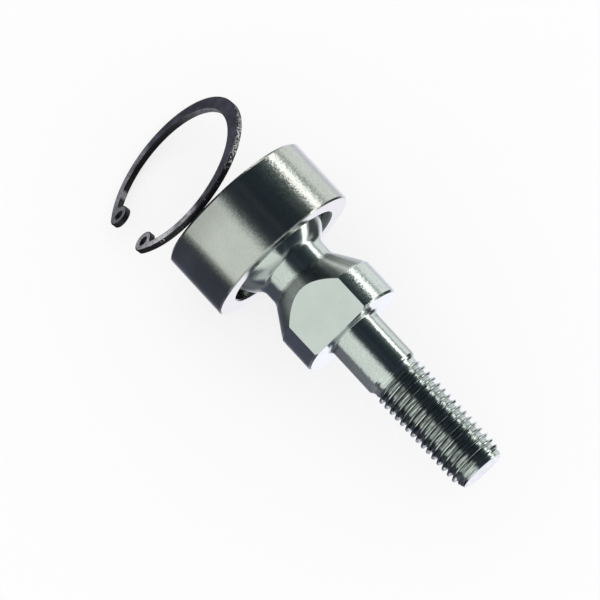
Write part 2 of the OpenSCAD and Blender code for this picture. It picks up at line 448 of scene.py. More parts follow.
plastic = bpy.data.materials.new("bearing_black_plastic")
plastic.use_nodes = True
tree = plastic.node_tree
place, axes = places(tree)
speckle = noise(tree, place, SPECKLES_PER_M, 5.0)
smear = noise(tree, place, SMEARS_PER_M, 3.0)
bump = node(tree, "ShaderNodeBump", {"Height": speckle, "Distance": PLASTIC_RELIEF * MM}).outputs[0]
shader = tree.nodes["Principled BSDF"]
shader.inputs["Specular IOR Level"].default_value = PLASTIC_GLOSS
tree.links.new(blend(tree, smear, PLASTIC_DARK, PLASTIC_PALE), shader.inputs["Base Color"])
tree.links.new(band(tree, smear, *PLASTIC_ROUGHNESS), shader.inputs["Roughness"])
tree.links.new(bump, shader.inputs["Normal"])
for name, side in (("front_bearing_half", 1.0), ("rear_bearing_half", -1.0)):
    half = surface(
        name[:-5] + "_cup",
        bearing_points * (side, 1.0, 1.0),
        bearing_quads,
        "bearing",
        name,
    )
    half.data.materials.append(plastic)

# The ball stud is one steel forging, turned all over and polished on the ball, with two
# wrench flats milled across its collar and a rolled thread on the end of its shank. A lathe
# centre is left in the flat on the ball's back.
BALL_R = 13.0
BALL_BACK = 7.5
CENTRE_R = 2.0
CENTRE_DEPTH = CENTRE_R / math.tan(math.radians(30))
NECK_R = 7.8
NECK_FILLET = 2.0
NECK_END = 14.0
COLLAR_R = 11.9
COLLAR_START = 20.6
COLLAR_END = 28.8
COLLAR_CHAMFER = 0.45
FLAT_AT = 9.5
FLATS_TURN = math.radians(21)
SHANK_R = 6.0
SHANK_FILLET = 1.0
SHANK_END = 40.5
BLANK_R = 5.42
BLANK_START = 41.45
THREAD_START = 41.9
THREAD_R = 5.95
ROOT_R = 5.03
PITCH = 1.567
THREAD_PHASE = 5 / 16
RUNOUT = 1.6
TIP_START = 65.9
TIP_STEP = 66.5
TIP_STEP_R = 5.45
TIP_R = 5.0
STUD_END = 68.0
FLAT_COLUMNS = 28
ROUND_COLUMNS = 44
PITCH_ROWS = 16
BALL_STEPS = 64
NECK_STEPS = 12
BACK_EDGES = [0, 0.1, 0.2, 0]
LOW_CONE_R = [7.9, 8.6, 9.2]
CONE_ROWS = 26
NECK_BLEND = 3.0
COLLAR_EDGES = [0, 0.25, 0.08, 0.08, SHANK_FILLET, 0.06, 0.1, 0]
COLLAR_HOLD = 0.12
ROOT_FLAT = 0.167
FLANK_SHARE = 0.708
CREST_ROUND = 0.55
TIP_WORN = 0.5
FACE_ROWS = [TIP_R - 0.1, TIP_R - 0.6, 1.5, 0.0]
CONE_MARGIN = 0.2
ON_FACE = 0.01
ON_FLAT = 0.001
NECK_BACK = 2.0
CONE_FADE = (NECK_END - 0.6, 2.0)
STUD_GRAIN = {"flat": 0.6, "end": 1.0, "collar": 9.0, "thread": 12.0, "ball": 2.5, "rest": 6.0}
STUD_LATHE = {"end": 2.5, "thread": 0.2, "rest": 1.2}

fillet_r = NECK_R + NECK_FILLET
fillet_x = math.sqrt((BALL_R + NECK_FILLET) ** 2 - fillet_r**2)
touch = math.atan2(fillet_r, fillet_x)
ball_angle = np.linspace(math.pi - math.acos(BALL_BACK / BALL_R), touch, BALL_STEPS)
ball_arc = BALL_R * np.stack([np.cos(ball_angle), np.sin(ball_angle)], axis=1)
neck_angle = np.linspace(touch - math.pi, -math.pi / 2, NECK_STEPS)
neck_arc = NECK_FILLET * np.stack([np.cos(neck_angle), np.sin(neck_angle)], axis=1)
neck_arc += (fillet_x, fillet_r)
back_corners = [(CENTRE_DEPTH - BALL_BACK, 0.0), (-BALL_BACK, CENTRE_R), ball_arc[0], ball_arc[2]]
back_profile = rounded_outline(back_corners, BACK_EDGES)
widest = math.acos(FLAT_AT / COLLAR_R)
flat_cone_r = FLAT_AT / np.cos(np.linspace(0, widest, CONE_ROWS)[:-2])
cone_r = np.concatenate([LOW_CONE_R, flat_cone_r])
cone_x = NECK_END + (cone_r - NECK_R) / (COLLAR_R - NECK_R) * (COLLAR_START - NECK_END)
neck_corners = [neck_arc[-1], (NECK_END, NECK_R), (cone_x[1], cone_r[1])]
neck_profile = rounded_outline(neck_corners, [0, NECK_BLEND, 0], steps=10)
collar_corners = [
    (cone_x[-1], cone_r[-1]),
    (COLLAR_START, COLLAR_R),
    (COLLAR_END - COLLAR_CHAMFER, COLLAR_R),
    (COLLAR_END, COLLAR_R - COLLAR_CHAMFER),
    (COLLAR_END, SHANK_R),
    (SHANK_END, SHANK_R),
    (BLANK_START, BLANK_R),
    (THREAD_START, BLANK_R),
]
collar_profile = rounded_outline(collar_corners, COLLAR_EDGES, hold=COLLAR_HOLD)
stud_profile = np.concatenate(
    [
        back_profile[:-1],
        ball_arc[2:],
        neck_arc[1:-1],
        neck_profile,
        np.stack([cone_x, cone_r], axis=1)[2:-1],
        collar_profile,
    ]
)


def flat_sided(profile):
    """The stud's rows, round or with two flats, as X, angle and radius on every column.

    A row of radius R beyond the flat's distance h is cut where the cosine of the half angle
    is h over R: its flat columns lie at h, and at h times the tangent of their own angle to
    the side, and its round columns share out the arc that is left. The other half of the row
    is the first one turned by half a turn.
    """
    x, r = profile.T[:, :, None]
    on_collar = (x > NECK_END - 1) & (x < COLLAR_END + ON_FLAT)
    cut = on_collar & (r > FLAT_AT)
    rest_angle = math.acos(FLAT_AT / (COLLAR_R - COLLAR_CHAMFER))
    half = np.where(x > COLLAR_START, rest_angle, 0.0)
    half = np.where(cut, np.arccos(np.minimum(FLAT_AT / r, 1.0)), half)
    share = np.linspace(-1, 1, FLAT_COLUMNS + 1)[None, :]
    flat_angle = np.arctan(np.tan(half) * share)
    flat_r = np.where(cut, FLAT_AT / np.cos(flat_angle), r)
    share = np.linspace(0, 1, ROUND_COLUMNS + 1)[None, 1:-1]
    round_angle = half + (np.pi - 2 * half) * share
    angle = np.concatenate([flat_angle, round_angle], axis=1)
    radius = np.concatenate([flat_r, r + 0 * round_angle], axis=1)
    return x + 0 * angle, np.concatenate([angle, angle + np.pi], axis=1), np.tile(radius, (1, 2))


stud_x, stud_angle, stud_r = flat_sided(stud_profile)
stud_x = np.tile(stud_x, (1, 2))


def rolled_thread(angle):
    """Rows that follow the thread, as places along X and radii on the columns' angles.

    A row climbs one pitch in a turn. Across a pitch the radius follows a triangle cut off
    flat at the crest and the root, which fades in from the bare blank and never stands out
    of the cone of the end chamfer.
    """
    turns = (angle - angle[0])[None, :] / (2 * np.pi)
    count = (math.ceil((STUD_END - THREAD_START) / PITCH) + 1) * PITCH_ROWS
    row = np.arange(1, count + 1)[:, None]
    x = THREAD_START + PITCH * (row / PITCH_ROWS - 1 + turns)
    x = np.clip(x, THREAD_START, STUD_END)
    phase = (x - THREAD_START) / PITCH - turns + THREAD_PHASE
    triangle = np.abs(2 * (phase - np.floor(phase)) - 1)
    rise = np.clip((triangle - ROOT_FLAT) / FLANK_SHARE, 0, 1)
    rise = (1 - CREST_ROUND) * rise + CREST_ROUND * rise * rise * (3 - 2 * rise)
    full = ROOT_R + (THREAD_R - ROOT_R) * rise
    start = np.clip((x - THREAD_START) / RUNOUT, 0, 1)
    start = start * start * (3 - 2 * start)
    radius = BLANK_R + (full - BLANK_R) * start
    chamfer = np.interp(x, [TIP_START, TIP_STEP, STUD_END], [THREAD_R, TIP_STEP_R, TIP_R])
    on_tip = np.clip((x - TIP_START) / (TIP_STEP - TIP_START), 0, 1)
    radius = np.minimum(radius, chamfer)
    return x, radius + (chamfer - radius) * TIP_WORN * on_tip


thread_x, thread_r = rolled_thread(stud_angle[-1])
face_r = np.array(FACE_ROWS)[:, None] + 0 * thread_r[:1]
face_x = STUD_END + 0 * face_r
stud_x = np.concatenate([stud_x, thread_x, face_x])
stud_r = np.concatenate([stud_r, thread_r, face_r])
thread_angle = np.tile(stud_angle[-1], (len(thread_r) + len(face_r), 1))
stud_angle = np.concatenate([stud_angle, thread_angle]) + FLATS_TURN
stud_points = np.stack([stud_x, -stud_r * np.sin(stud_angle), stud_r * np.cos(stud_angle)], axis=-1)
stud_columns = stud_points.shape[1]
thread_first = (len(stud_profile) - 1) * stud_columns
face_first = thread_first + len(thread_r) * stud_columns
stud_quads = np.concatenate(
    [
        grid_quads(len(stud_profile), stud_columns, closed_rows=False),
        grid_quads(len(thread_r) + 1, stud_columns, False, thread_first, climb=PITCH_ROWS),
        grid_quads(len(face_r) + 1, stud_columns, False, face_first),
    ]
)
stud_up = stud_r * np.cos(stud_angle - FLATS_TURN)
on_flat = np.abs(np.abs(stud_up) - FLAT_AT) < ON_FLAT
on_cone = (stud_x < COLLAR_START - CONE_MARGIN) & ~on_flat
on_ball = stud_x < NECK_END - NECK_BACK
on_collar = (stud_x > COLLAR_START - CONE_MARGIN) & (stud_x < COLLAR_END) & ~on_flat
on_thread = stud_x > SHANK_END
on_end = (np.abs(stud_x - COLLAR_END) < ON_FACE) | (stud_x > STUD_END - ON_FACE)
on_end |= stud_x < -BALL_BACK + ON_FACE
on_parts = {"flat": on_flat, "end": on_end, "collar": on_collar, "thread": on_thread, "ball": on_ball}


def by_part(values):
    """A value at each point: that of the first named part it lies on, or else the rest's."""
    names = [name for name in on_parts if name in values]
    return np.select([on_parts[name] for name in names], [values[name] for name in names], values["rest"])


stud_marks = {
    "cone": np.where(on_cone, np.clip((stud_x - CONE_FADE[0]) / CONE_FADE[1], 0, 1), 0.0),
    "grain": by_part(STUD_GRAIN),
    "lathe": by_part(STUD_LATHE),
    "thread": np.where(on_thread & ~on_end, 1.0, 0.0),
}
stud = surface("stud", stud_points, stud_quads, "stud", "ball_stud", stud_marks)

# The stud's steel is bright from the lathe, whose marks stretch its reflections round the
# axis. The roots and flanks of the thread are darkened in streaks that follow it, partly by
# oil and rolling dirt and partly as painted shade in the grooves, less on the far side and
# across the middle. Painted shade lies on the cone and along the shank's far side, and fine
# dark rings lie on the end.
STUD_TONE = (0.70, 0.75, 0.74)
STUD_ROUGHNESS = 0.105
STUD_WEAR = 0.5
LATHE_STRETCH = 0.9
LATHE_STRETCH_TURN = 0.25
CONE_MATT = 1.5
THREAD_POLISH = 0.25
OIL_SMEARS_PER_M = 420.0
STREAKS_PER_M = (5200.0, 300.0, 300.0)
STREAK_EDGE = (0.4, 0.6)
# Thread darkening, partly dirt and partly painted shade in the grooves, with less of it on the far side and
# across the middle:
FLANK_RISE = (0.5, 0.66)
FLANK_FALL = (0.78, 0.88)
FLANK_SMEARS = (0.3, 0.6, 0.75, 1.0)
ROOT_DIRT_AND_SHADE = (0.06, 0.2, 0.85, 0.35)
ROOT_END = (0.7, 0.9, 1.0, 0.0)
ROOT_SMEARS = (0.3, 0.65, 0.5, 1.0)
ROOT_STREAKS = (0.0, 1.0, 0.3, 1.0)
LESS_DARK_SIDE = (2.5, 4.2)
LESS_DARK_ROOT = (1.0, 0.1)
LESS_DARK_FLANK = (1.0, 0.35)
LESS_DARK_STREAKS = (0.75, 0.2)
LESS_DARK_MIDDLE_RISE = (-1.6, -0.6)
LESS_DARK_MIDDLE_FALL = (2.2, 3.2, 0.6, 0.0)
DIRT_AND_SHADE_START = (THREAD_START + 0.5, THREAD_START + 1.5)
DIRT_AND_SHADE_TIP = (TIP_STEP, TIP_STEP + 0.4, 1.0, 0.0)
DIRT_AND_SHADE_END = (STUD_END - 0.1, STUD_END - 0.02, 1.0, 0.0)
# Painted shade along the shank's far side and on the cone:
SHANK_SHADE_ACROSS = (4.2, 5.6)
SHANK_SHADE_START = (29.0, 30.0)
SHANK_SHADE_END = (SHANK_END, BLANK_START, 0.45, 0.0)
FAN_WAVES = 24.0
FAN_SHADE = (0.35, 0.65, 0.27, 0.4)
CONE_STREAK_AT = 0.07
CONE_STREAK = (0.01, 0.03)
CONE_SHADE_AT = 0.12
CONE_SHADE = (0.015, 0.035, 0.28, 0.0)
END_RINGS_PER_M = 1500.0
END_RINGS = (0.4, 0.6, 0.16, 0.48)
END_FACE = (STUD_END - 0.05, STUD_END - 0.01)
HAZE_ACROSS = (-5.2, -4.2, 1.0, 0.0)
HAZE_START = (29.5, 30.5)
HAZE_END = (THREAD_START, THREAD_START + 1.0, 1.0, 0.0)
HAZED_METAL = 0.86


def mark(tree, name):
    """A piece's own mark, read from its mesh."""
    return node(tree, "ShaderNodeAttribute", attribute_name=name).outputs["Fac"]


def distance_from(tree, value, middle):
    """How far a value is from its middle, either way."""
    return math_node(tree, "ABSOLUTE", math_node(tree, "SUBTRACT", value, middle))


def stripe(tree, value, rise, fall):
    """One between two ranges of a value: it rises over the first and falls over the second."""
    return product(tree, band(tree, value, *rise), band(tree, value, *fall, 1.0, 0.0))


tree, finish = steel("stud_turned_steel", stud, STUD_TONE, STUD_ROUGHNESS, STUD_WEAR)
place, axes = places(tree)
shader = tree.nodes["Principled BSDF"]
shader.inputs["Anisotropic"].default_value = LATHE_STRETCH
shader.inputs["Anisotropic Rotation"].default_value = LATHE_STRETCH_TURN
round_axis = node(tree, "ShaderNodeTangent", direction_type="RADIAL", axis="X").outputs[0]
tree.links.new(round_axis, shader.inputs["Tangent"])
cone = mark(tree, "cone")
thread = mark(tree, "thread")
matt = math_node(tree, "SUBTRACT", product(tree, cone, CONE_MATT), product(tree, thread, THREAD_POLISH))
tree.links.new(mark(tree, "grain"), finish.inputs["Grain"])
tree.links.new(mark(tree, "lathe"), finish.inputs["Marks"])
tree.links.new(matt, finish.inputs["Matt"])
tree.links.new(thread, finish.inputs["Stretch"])

# The thread's phase is worked out from the place on the stud: the pitches along X, less the
# share of a turn round the axis.
turn = math_node(tree, "ARCTAN2", product(tree, axes["Y"], -1.0), axes["Z"])
turn = product(tree, turn, 1 / (2 * math.pi))
thread_shift = stud_angle[-1, 0] / (2 * math.pi) - THREAD_START / PITCH + THREAD_PHASE
phase = math_node(tree, "SUBTRACT", product(tree, axes["X"], 1 / (PITCH * MM)), turn)
phase = math_node(tree, "FRACT", math_node(tree, "ADD", phase, thread_shift))
from_root = distance_from(tree, product(tree, phase, 2.0), 1.0)
smears = noise(tree, place, OIL_SMEARS_PER_M, 3.0)
rolled = node(tree, "ShaderNodeMapping", {"Vector": place, "Scale": STREAKS_PER_M}).outputs[0]
streaks = band(tree, noise(tree, rolled, 1.0, 2.0), *STREAK_EDGE)
# The thread's flanks and roots are darkened: partly dirt, partly painted shade in the grooves.
flank = product(
    tree,
    stripe(tree, from_root, FLANK_RISE, FLANK_FALL),
    band(tree, smears, *FLANK_SMEARS),
    fade(tree, axes["Y"], *LESS_DARK_SIDE, *LESS_DARK_FLANK),
)
root = product(
    tree,
    band(tree, from_root, *ROOT_DIRT_AND_SHADE),
    band(tree, smears, *ROOT_SMEARS),
    fade(tree, axes["Y"], *LESS_DARK_SIDE, *LESS_DARK_ROOT),
    band(tree, from_root, *ROOT_END),
    band(tree, streaks, *ROOT_STREAKS),
)
dirt_and_shade = product(tree, math_node(tree, "MAXIMUM", root, flank), fade(tree, axes["X"], *DIRT_AND_SHADE_TIP))
streak_dirt_and_shade = product(tree, streaks, fade(tree, axes["Y"], *LESS_DARK_SIDE, *LESS_DARK_STREAKS))
less_dark_middle = product(tree, fade(tree, axes["Y"], *LESS_DARK_MIDDLE_RISE), fade(tree, axes["Y"], *LESS_DARK_MIDDLE_FALL))
dirt_and_shade = product(
    tree,
    math_node(tree, "MAXIMUM", dirt_and_shade, streak_dirt_and_shade),
    fade(tree, axes["X"], *DIRT_AND_SHADE_START),
    fade(tree, axes["X"], *DIRT_AND_SHADE_END),
    math_node(tree, "SUBTRACT", 1.0, less_dark_middle),
)
# Painted shade along the shank's far side, and on the cone in a streak and towards one side.
shank_painted_shade = product(
    tree,
    fade(tree, axes["Y"], *SHANK_SHADE_ACROSS),
    fade(tree, axes["X"], *SHANK_SHADE_START),
    fade(tree, axes["X"], *SHANK_SHADE_END),
)
fan = noise(tree, vector_node(tree, "NORMALIZE", off_axis(tree, axes)), FAN_WAVES, 4.0)
cone_streak = band(tree, distance_from(tree, turn, -CONE_STREAK_AT), *CONE_STREAK)
cone_shade = band(tree, distance_from(tree, turn, -CONE_SHADE_AT), *CONE_SHADE)
cone_painted_shade = product(tree, band(tree, fan, *FAN_SHADE), cone_streak)
cone_painted_shade = product(tree, cone, math_node(tree, "ADD", cone_painted_shade, cone_shade))
from_end = vector_node(tree, "DISTANCE", place, (STUD_END * MM, 0.0, 0.0))
ring_sockets = {"W": product(tree, from_end, END_RINGS_PER_M), "Scale": 1.0, "Detail": 2.0}
end_rings = node(tree, "ShaderNodeTexNoise", ring_sockets, noise_dimensions="1D").outputs["Fac"]
end_rings = product(tree, band(tree, end_rings, *END_RINGS), fade(tree, axes["X"], *END_FACE))
# The painted shade on the shank and cone, together with the end's dark rings.
stud_shade_and_rings = math_node(tree, "MAXIMUM", shank_painted_shade, math_node(tree, "MAXIMUM", cone_painted_shade, end_rings))
haze = product(
    tree,
    fade(tree, axes["Y"], *HAZE_ACROSS),
    fade(tree, axes["X"], *HAZE_START),
    fade(tree, axes["X"], *HAZE_END),
)
tree.links.new(math_node(tree, "MAXIMUM", dirt_and_shade, stud_shade_and_rings), finish.inputs["Soil and shade"])
tree.links.new(band(tree, haze, 0.0, 1.0, 1.0, HAZED_METAL), shader.inputs["Metallic"])

# The retaining ring is stamped from spring steel strip, hardened and given a dark phosphate
# coat. Its strip thins towards the two lugs, whose holes take the pliers that close it.
RING_R = 18.9
RING_T = 1.2
RING_INNER_R = 16.5
RING_OFFSET = 0.8
LUG_R = 2.35
LUG_HOLE_R = 1.1
LUG_FILLET = 0.7
LUG_ANGLE = math.radians(30.5)
GAP_TURN = math.radians(-107)
RING_LEAN = math.radians(55.8)
RING_YAW = math.radians(18)
RING_PLACE = (-19.62, -4.6, -1.8682)
RING_ROLL = 0.16
RING_BURR = 0.08
HOLE_EASE = 0.12
STRIP_STEPS = 150
LUG_STEPS = 44
BLEND_STEPS = 8
CORNER_STEPS = 5
FACE_INSET = 0.5


def arc(centre, radius, start, end, steps):
    """Points on an arc and their spokes, from one angle to another."""
    angle = np.linspace(start, end, steps + 1)
    spoke = np.stack([np.cos(angle), np.sin(angle)], axis=1)
    return np.asarray(centre) + radius * spoke, spoke


lug_at = (RING_R - LUG_R) * np.array([math.cos(LUG_ANGLE), math.sin(LUG_ANGLE)])
inner_at = np.array([RING_OFFSET, 0.0])
span = lug_at - inner_at
to_lug = LUG_R + LUG_FILLET
to_inner = RING_INNER_R - LUG_FILLET
swing = math.acos((to_inner**2 + span @ span - to_lug**2) / (2 * to_inner * math.hypot(*span)))
heading = math.atan2(span[1], span[0]) + swing
fillet_at = inner_at + to_inner * np.array([math.cos(heading), math.sin(heading)])
lug_side = math.atan2(*(fillet_at - lug_at)[::-1])
inner_edge, inner_in = arc(inner_at, RING_INNER_R, math.pi, heading, STRIP_STEPS)
outer_angle = np.arctan2(inner_edge[:, 1], inner_edge[:, 0])
outer_in = -np.stack([np.cos(outer_angle), np.sin(outer_angle)], axis=1)
outer_edge = -RING_R * outer_in
fillet_edge, fillet_in = arc(fillet_at, LUG_FILLET, heading, lug_side - math.pi, BLEND_STEPS)
lug_edge, lug_in = arc(lug_at, LUG_R, lug_side, LUG_ANGLE + 2 * math.pi, LUG_STEPS)
heel_edge, heel_in = arc((0, 0), RING_R, LUG_ANGLE, outer_angle[-1], BLEND_STEPS)
middle = (inner_edge + outer_edge) / 2
lug_edges = np.concatenate([fillet_edge, lug_edge[1:], heel_edge[1:]])
lug_ins = np.concatenate([fillet_in, -lug_in[1:], -heel_in[1:]])
hole_start = math.atan2(*(middle[-1] - lug_at)[::-1])
hole_share = np.linspace(0, 1, len(lug_edges))
hole_angle = hole_start + 2 * math.pi * hole_share
hole_spoke = np.stack([np.cos(hole_angle), np.sin(hole_angle)], axis=1)
eased_hole = lug_at + (LUG_HOLE_R + HOLE_EASE) * hole_spoke
half_edge = np.concatenate([inner_edge[:-1], lug_edges, outer_edge[-2::-1]])
half_in = np.concatenate([inner_in[:-1], lug_ins, outer_in[-2::-1]])
half_core = np.concatenate([middle[:-1], eased_hole, middle[-2::-1]])
other = np.array([1.0, -1.0])
ring_edge = np.concatenate([half_edge, (half_edge[::-1] * other)[1:-1]])
ring_in = np.concatenate([half_in, (half_in[::-1] * other)[1:-1]])
ring_core = np.concatenate([half_core, (half_core[::-1] * other)[1:-1]])


def stamped_strip(edge, inward, core):
    """The strip's rows, from the middle of its outer face over the edge to its other face.

    A row is the outline set inwards by its own distance, at its own height. The rows round
    the two corners follow a quarter circle, a large one where the die rolled the edge over
    and a small one where the burr was tumbled off. The first and last rows are the core.
    """
    swing = np.linspace(0, np.pi / 2, CORNER_STEPS)
    sine_gap = 1 - np.sin(swing)
    cosine_gap = 1 - np.cos(swing)
    top = np.stack([RING_ROLL * sine_gap, RING_T - RING_ROLL * cosine_gap], axis=1)
    low = np.stack([RING_BURR * cosine_gap, RING_BURR * sine_gap], axis=1)
    faces = [[(FACE_INSET, RING_T)], [(0.0, RING_T / 2)], [(FACE_INSET, 0.0)]]
    rows = np.concatenate([faces[0], top, faces[1], low, faces[2]])
    flat = edge[None] + rows[:, :1, None] * inward[None]
    flat = np.concatenate([core[None], flat, core[None]])
    level = np.concatenate([[RING_T], rows[:, 1], [0.0]])[:, None, None] + 0 * flat[..., :1]
    return np.concatenate([flat, level], axis=-1)


strip_points = stamped_strip(ring_edge, ring_in, ring_core)
strip_rows, strip_columns = strip_points.shape[:2]
strip_quads = grid_quads(strip_rows, strip_columns, closed_rows=False)
hole_levels = np.array([RING_T, RING_T - HOLE_EASE, HOLE_EASE, 0.0])[:, None, None]
hole_radii = LUG_HOLE_R + np.array([HOLE_EASE, 0.0, 0.0, HOLE_EASE])[:, None, None]
hole_flat = lug_at + hole_radii * hole_spoke[None, :-1]
hole_points = np.concatenate([hole_flat, hole_levels + 0 * hole_flat[..., :1]], axis=-1)
hole_quads = grid_quads(4, len(hole_spoke) - 1, closed_rows=False, start=strip_rows * strip_columns)
other_quads = hole_quads + hole_points[..., 0].size
ring_points = np.concatenate(
    [
        strip_points.reshape(-1, 3),
        hole_points.reshape(-1, 3),
        hole_points.reshape(-1, 3) * (1.0, -1.0, 1.0),
    ]
)
edge_mark = np.zeros((strip_rows, strip_columns))
edge_mark[2:-2] = 1.0
half_outside = np.arange(len(half_edge)) >= len(half_edge) - STRIP_STEPS
strip_outside = np.concatenate([half_outside, half_outside[::-1][1:-1]])
hole_mark = np.array([0.0, 1.0, 1.0, 0.0]).repeat(len(hole_spoke) - 1)
ring_mark = np.concatenate([edge_mark.ravel(), hole_mark, hole_mark])
ring_outside = np.concatenate([np.tile(strip_outside, strip_rows), 0 * hole_mark, 0 * hole_mark])
ring_along = np.arctan2(ring_points[:, 1], ring_points[:, 0]) % (2 * np.pi)
ring_turn = Matrix.Rotation(RING_YAW, 3, "Z") @ Matrix.Rotation(-RING_LEAN, 3, "Y")
ring_turn = ring_turn @ Matrix.Rotation(GAP_TURN, 3, "Z")
ring_points = ring_points @ np.array(ring_turn).T + RING_PLACE
ring = surface(
    "ring",
    ring_points,
    np.concatenate([strip_quads, hole_quads, other_quads]),
    "housing",
    "retaining_ring",
    marks={"edge": ring_mark, "outside": ring_outside, "along": ring_along},
)
# The coat is painted paler towards the lugs, a painted sheen, and part of the inner wall has a
# painted sheen and a painted glint near one lug. The coat is worn through to bare steel on the
# outer edge. Places along the ring are angles in radians from its gap.
COAT_DARK = (0.04, 0.04, 0.06, 1)
# The coat's pale colour is a painted sheen.
COAT_SHEEN = (0.38, 0.38, 0.41, 1)
WALL_DARK = (0.006, 0.006, 0.009, 1)
# The wall's pale colour is a painted sheen.
WALL_SHEEN = (0.2, 0.2, 0.22, 1)
BARE_STEEL = (0.5, 0.51, 0.5, 1)
COAT_GLOSS = 0.35
COAT_ROUGHNESS = (0.3, 0.7, 0.36, 0.52)
COAT_RELIEF = 0.012
COAT_MOTTLE = (0.12, 0.4, 0.6, 1.5)
CRYSTALS_PER_M = 2600.0
PATCHES_PER_M = 330.0
RUBS_PER_M = 1900.0
PATCH_SHIFT = (0.2, 0.8, -0.2, 0.2)
# The painted sheen on the coat towards the lugs:
SHEEN_START = (1.4, 2.1)
SHEEN_LUGS = (2.35, 2.65, 1.0, 0.5)
SHEEN_ONE_SIDE = (3.6, 4.2, 1.0, 0.4)
WALL_EDGE = (0.55, 1.0)
# The painted sheen and painted glint on the inner wall:
WALL_SHEEN_RISE = (2.95, 3.45)
WALL_SHEEN_FALL = (3.6, 4.3)
GLINT_AT = 5.39
GLINT = (0.02, 0.08, 1.0, 0.0)
WORN_RISE = (1.9, 2.25)
WORN_FALL = (2.75, 2.95)
WORN_NEEDS = (0.66, 0.47)
WORN_EDGE = (0.2, 0.7)
FLAKE_EDGE = (0.0, 0.05)
phosphate = bpy.data.materials.new("ring_dark_phosphate")
phosphate.use_nodes = True
tree = phosphate.node_tree
place, axes = places(tree)
crystals = noise(tree, place, CRYSTALS_PER_M, 5.0)
patches = noise(tree, place, PATCHES_PER_M, 4.0)
rubs = noise(tree, place, RUBS_PER_M, 4.0)
edge = mark(tree, "edge")
outside = mark(tree, "outside")
along = mark(tree, "along")
from_back = math_node(tree, "ADD", distance_from(tree, along, math.pi), band(tree, patches, *PATCH_SHIFT))
# Painted sheen: the coat is paler towards the lugs, less on one side.
sheen_near_lugs = product(
    tree,
    band(tree, from_back, *SHEEN_START),
    band(tree, from_back, *SHEEN_LUGS),
    band(tree, along, *SHEEN_ONE_SIDE),
)
# Painted sheen on part of the inner wall, with a painted glint near one lug.
wall_sheen = stripe(tree, along, WALL_SHEEN_RISE, WALL_SHEEN_FALL)
glint = band(tree, distance_from(tree, along, GLINT_AT), *GLINT)
inside = math_node(tree, "SUBTRACT", 1.0, outside)
wall_sheen = product(tree, math_node(tree, "MAXIMUM", wall_sheen, glint), inside)
coat = blend(tree, sheen_near_lugs, COAT_DARK, COAT_SHEEN)
wall = blend(tree, wall_sheen, WALL_DARK, WALL_SHEEN)
skin = blend(tree, band(tree, edge, *WALL_EDGE), coat, wall)
needed = band(tree, stripe(tree, along, WORN_RISE, WORN_FALL), 0.0, 1.0, *WORN_NEEDS)
flaked = band(tree, math_node(tree, "SUBTRACT", rubs, needed), *FLAKE_EDGE)
bare = product(tree, flaked, band(tree, edge, *WORN_EDGE), outside)
mottle = band(tree, product(tree, patches, crystals), *COAT_MOTTLE)
bump = node(tree, "ShaderNodeBump", {"Height": crystals, "Distance": COAT_RELIEF * MM}).outputs[0]
shader = tree.nodes["Principled BSDF"]
shader.inputs["Specular IOR Level"].default_value = COAT_GLOSS
tree.links.new(scaled(tree, blend(tree, bare, skin, BARE_STEEL), mottle), shader.inputs["Base Color"])
tree.links.new(bare, shader.inputs["Metallic"])
tree.links.new(band(tree, crystals, *COAT_ROUGHNESS), shader.inputs["Roughness"])
tree.links.new(bump, shader.inputs["Normal"])
ring.data.materials.append(phosphate)

# The floor is a plain white sheet under the joint, on the level of the race's lowest line.
# It takes a soft shadow, and is kept out of the metal's reflections.
FLOOR_HALF = 3.0
FLOOR_DROP = 0.02
FLOOR_TONE = (0.96, 0.96, 0.96, 1)
FLOOR_GLOW = 0.75
WHITE = (1, 1, 1, 1)
floor_mesh = bpy.data.meshes.new("floor")
floor_corners = np.array([(-1, -1), (1, -1), (1, 1), (-1, 1)]) * FLOOR_HALF
floor_points = np.concatenate([floor_corners, np.full((4, 1), -(RACE_R + FLOOR_DROP) * MM)], axis=1)
floor_mesh.from_pydata(floor_points.tolist(), [], [(0, 1, 2, 3)])
floor = bpy.data.objects.new("floor", floor_mesh)
bpy.context.scene.collection.objects.link(floor)
floor.visible_glossy = False
sheet = bpy.data.materials.new("floor_white_sheet")
sheet.use_nodes = True
tree = sheet.node_tree
tree.nodes.remove(tree.nodes["Principled BSDF"])
paper = node(tree, "ShaderNodeBsdfDiffuse", {"Color": FLOOR_TONE}).outputs[0]
white = node(tree, "ShaderNodeEmission", {"Color": WHITE, "Strength": 1.0}).outputs[0]
seen = product(tree, node(tree, "ShaderNodeLightPath").outputs["Is Camera Ray"], FLOOR_GLOW)
both = node(tree, "ShaderNodeMixShader", {0: seen, 1: paper, 2: white}).outputs[0]
tree.links.new(both, tree.nodes["Material Output"].inputs["Surface"])
floor_mesh.materials.append(sheet)

